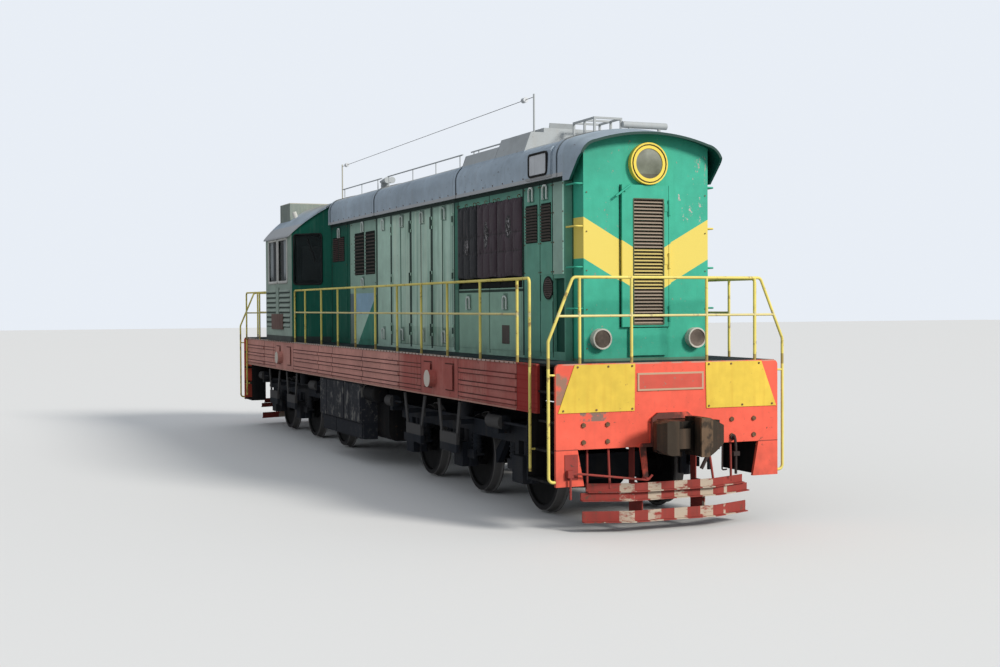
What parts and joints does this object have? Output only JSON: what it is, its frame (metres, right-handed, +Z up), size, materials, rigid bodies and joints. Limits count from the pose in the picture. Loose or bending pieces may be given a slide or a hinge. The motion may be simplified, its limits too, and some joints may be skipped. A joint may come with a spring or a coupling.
{
  "type": "six-axle diesel shunting locomotive",
  "caption": "Diesel shunting locomotive with a long hood, a rear cab, two three-axle bogies, walkway railings and automatic couplers.",
  "frame": {"origin": "under the middle of the underframe, level with the lowest point of the wheel flanges", "axes": "+X to the front, the end of the long hood; +Y to the left; +Z up"},
  "size_m": [17.28, 3.12, 5.26],
  "materials": {
    "green_paint": "weathered green paint",
    "red_paint": "weathered red paint",
    "yellow_paint": "worn yellow paint",
    "sill_paint": "faded brick-red paint",
    "roof_paint": "weathered grey paint",
    "locker_paint": "weathered grey paint",
    "engine_paint": "oily grey paint",
    "interior_paint": "satin paint",
    "running_gear": "sooty black",
    "wheel_steel": "dusty steel with bright treads",
    "coupler_steel": "greasy cast steel",
    "dark_steel": "dark paint",
    "quilted_fabric": "quilted cloth",
    "window_glass": "tinted glass",
    "lamp_glass": "clear glass"
  },
  "bodies": {
    "locomotive": {"underframe": "running_gear", "end_plates": "red_paint", "end_panels": "yellow_paint", "number_plates": "red_paint", "sill_panels": "sill_paint", "fuel_tank": "running_gear", "side_lockers": "locker_paint", "air_reservoirs": "running_gear", "track_guards": "red_paint", "couplers": "coupler_steel", "uncoupling_gear": "red_paint", "corner_steps": "running_gear", "side_railings": "yellow_paint", "end_railings": "yellow_paint", "hood_walls": "green_paint", "hood_roof": "roof_paint", "roof_visor": "roof_paint", "nose_panels": "green_paint", "radiator_shutters": "dark_steel", "winter_covers": "quilted_fabric", "engine_block": "engine_paint", "fan_housing": "roof_paint", "roof_fittings": "roof_paint", "lamps": "dark_steel", "lamp_lenses": "lamp_glass", "cab_walls": "green_paint", "cab_roof": "roof_paint", "roof_unit": "roof_paint", "cab_windows": "window_glass", "cab_interior": "interior_paint", "rear_hood": "green_paint"},
    "front_bogie": {"front_bogie_frame": "running_gear", "front_axle_boxes": "running_gear", "front_motors": "running_gear"},
    "front_wheelset_1": {"front_wheelset_1": "wheel_steel"},
    "front_wheelset_2": {"front_wheelset_2": "wheel_steel"},
    "front_wheelset_3": {"front_wheelset_3": "wheel_steel"},
    "rear_bogie": {"rear_bogie_frame": "running_gear", "rear_axle_boxes": "running_gear", "rear_motors": "running_gear"},
    "rear_wheelset_1": {"rear_wheelset_1": "wheel_steel"},
    "rear_wheelset_2": {"rear_wheelset_2": "wheel_steel"},
    "rear_wheelset_3": {"rear_wheelset_3": "wheel_steel"},
    "cooling_fan": {"cooling_fan": "dark_steel"},
    "right_door_1_rear": {"right_door_1_rear": "green_paint"},
    "right_door_1_front": {"right_door_1_front": "green_paint"},
    "right_door_2_rear": {"right_door_2_rear": "green_paint"},
    "right_door_2_front": {"right_door_2_front": "green_paint"},
    "right_door_3_rear": {"right_door_3_rear": "green_paint"},
    "right_door_3_front": {"right_door_3_front": "green_paint"},
    "left_door_1_rear": {"left_door_1_rear": "green_paint"},
    "left_door_1_front": {"left_door_1_front": "green_paint"},
    "left_door_2_rear": {"left_door_2_rear": "green_paint"},
    "left_door_2_front": {"left_door_2_front": "green_paint"},
    "left_door_3_rear": {"left_door_3_rear": "green_paint"},
    "left_door_3_front": {"left_door_3_front": "green_paint"},
    "nose_door": {"nose_door": "green_paint"},
    "cab_front_door": {"cab_front_door": "green_paint"},
    "cab_rear_door": {"cab_rear_door": "green_paint"}
  },
  "joints": [
    {"name": "front_bogie_swivel", "type": "hinge", "parent": "locomotive", "child": "front_bogie", "pos_m": [4.33, 0, 1.2], "axis": [0, 0, 1], "range_deg": [-3, 3]},
    {"name": "front_wheelset_1_spin", "type": "hinge", "parent": "front_bogie", "child": "front_wheelset_1", "pos_m": [6.33, 0, 0.555], "axis": [0, 1, 0], "continuous": true},
    {"name": "front_wheelset_2_spin", "type": "hinge", "parent": "front_bogie", "child": "front_wheelset_2", "pos_m": [4.33, 0, 0.555], "axis": [0, 1, 0], "continuous": true},
    {"name": "front_wheelset_3_spin", "type": "hinge", "parent": "front_bogie", "child": "front_wheelset_3", "pos_m": [2.33, 0, 0.555], "axis": [0, 1, 0], "continuous": true},
    {"name": "rear_bogie_swivel", "type": "hinge", "parent": "locomotive", "child": "rear_bogie", "pos_m": [-4.33, 0, 1.2], "axis": [0, 0, 1], "range_deg": [-3, 3]},
    {"name": "rear_wheelset_1_spin", "type": "hinge", "parent": "rear_bogie", "child": "rear_wheelset_1", "pos_m": [-2.33, 0, 0.555], "axis": [0, 1, 0], "continuous": true},
    {"name": "rear_wheelset_2_spin", "type": "hinge", "parent": "rear_bogie", "child": "rear_wheelset_2", "pos_m": [-4.33, 0, 0.555], "axis": [0, 1, 0], "continuous": true},
    {"name": "rear_wheelset_3_spin", "type": "hinge", "parent": "rear_bogie", "child": "rear_wheelset_3", "pos_m": [-6.33, 0, 0.555], "axis": [0, 1, 0], "continuous": true},
    {"name": "cooling_fan_spin", "type": "hinge", "parent": "locomotive", "child": "cooling_fan", "pos_m": [5.37, 0, 4.36], "axis": [0, 0, 1], "continuous": true},
    {"name": "right_door_1_rear_hinge", "type": "hinge", "parent": "locomotive", "child": "right_door_1_rear", "pos_m": [0.73, -0.9325, 2.98], "axis": [0, 0, -1], "range_deg": [0, 90]},
    {"name": "right_door_1_front_hinge", "type": "hinge", "parent": "locomotive", "child": "right_door_1_front", "pos_m": [1.63, -0.9325, 2.98], "axis": [0, 0, 1], "range_deg": [0, 90]},
    {"name": "right_door_2_rear_hinge", "type": "hinge", "parent": "locomotive", "child": "right_door_2_rear", "pos_m": [1.69, -0.9325, 2.98], "axis": [0, 0, -1], "range_deg": [0, 90]},
    {"name": "right_door_2_front_hinge", "type": "hinge", "parent": "locomotive", "child": "right_door_2_front", "pos_m": [2.58, -0.9325, 2.98], "axis": [0, 0, 1], "range_deg": [0, 90]},
    {"name": "right_door_3_rear_hinge", "type": "hinge", "parent": "locomotive", "child": "right_door_3_rear", "pos_m": [2.64, -0.9325, 2.98], "axis": [0, 0, -1], "range_deg": [0, 90]},
    {"name": "right_door_3_front_hinge", "type": "hinge", "parent": "locomotive", "child": "right_door_3_front", "pos_m": [3.49, -0.9325, 2.98], "axis": [0, 0, 1], "range_deg": [0, 90]},
    {"name": "left_door_1_rear_hinge", "type": "hinge", "parent": "locomotive", "child": "left_door_1_rear", "pos_m": [0.73, 0.9325, 2.98], "axis": [0, 0, 1], "range_deg": [0, 90]},
    {"name": "left_door_1_front_hinge", "type": "hinge", "parent": "locomotive", "child": "left_door_1_front", "pos_m": [1.63, 0.9325, 2.98], "axis": [0, 0, -1], "range_deg": [0, 90]},
    {"name": "left_door_2_rear_hinge", "type": "hinge", "parent": "locomotive", "child": "left_door_2_rear", "pos_m": [1.69, 0.9325, 2.98], "axis": [0, 0, 1], "range_deg": [0, 90]},
    {"name": "left_door_2_front_hinge", "type": "hinge", "parent": "locomotive", "child": "left_door_2_front", "pos_m": [2.58, 0.9325, 2.98], "axis": [0, 0, -1], "range_deg": [0, 90]},
    {"name": "left_door_3_rear_hinge", "type": "hinge", "parent": "locomotive", "child": "left_door_3_rear", "pos_m": [2.64, 0.9325, 2.98], "axis": [0, 0, 1], "range_deg": [0, 90]},
    {"name": "left_door_3_front_hinge", "type": "hinge", "parent": "locomotive", "child": "left_door_3_front", "pos_m": [3.49, 0.9325, 2.98], "axis": [0, 0, -1], "range_deg": [0, 90]},
    {"name": "nose_door_hinge", "type": "hinge", "parent": "locomotive", "child": "nose_door", "pos_m": [7.5135, 0.27, 3.07], "axis": [0, 0, 1], "range_deg": [0, 35]},
    {"name": "cab_front_door_hinge", "type": "hinge", "parent": "locomotive", "child": "cab_front_door", "pos_m": [-3.55181, 1.38282, 2.95], "axis": [0, 0, -1], "range_deg": [0, 90]},
    {"name": "cab_rear_door_hinge", "type": "hinge", "parent": "locomotive", "child": "cab_rear_door", "pos_m": [-5.5375, -1.4, 2.95], "axis": [0, 0, -1], "range_deg": [0, 90]}
  ]
}
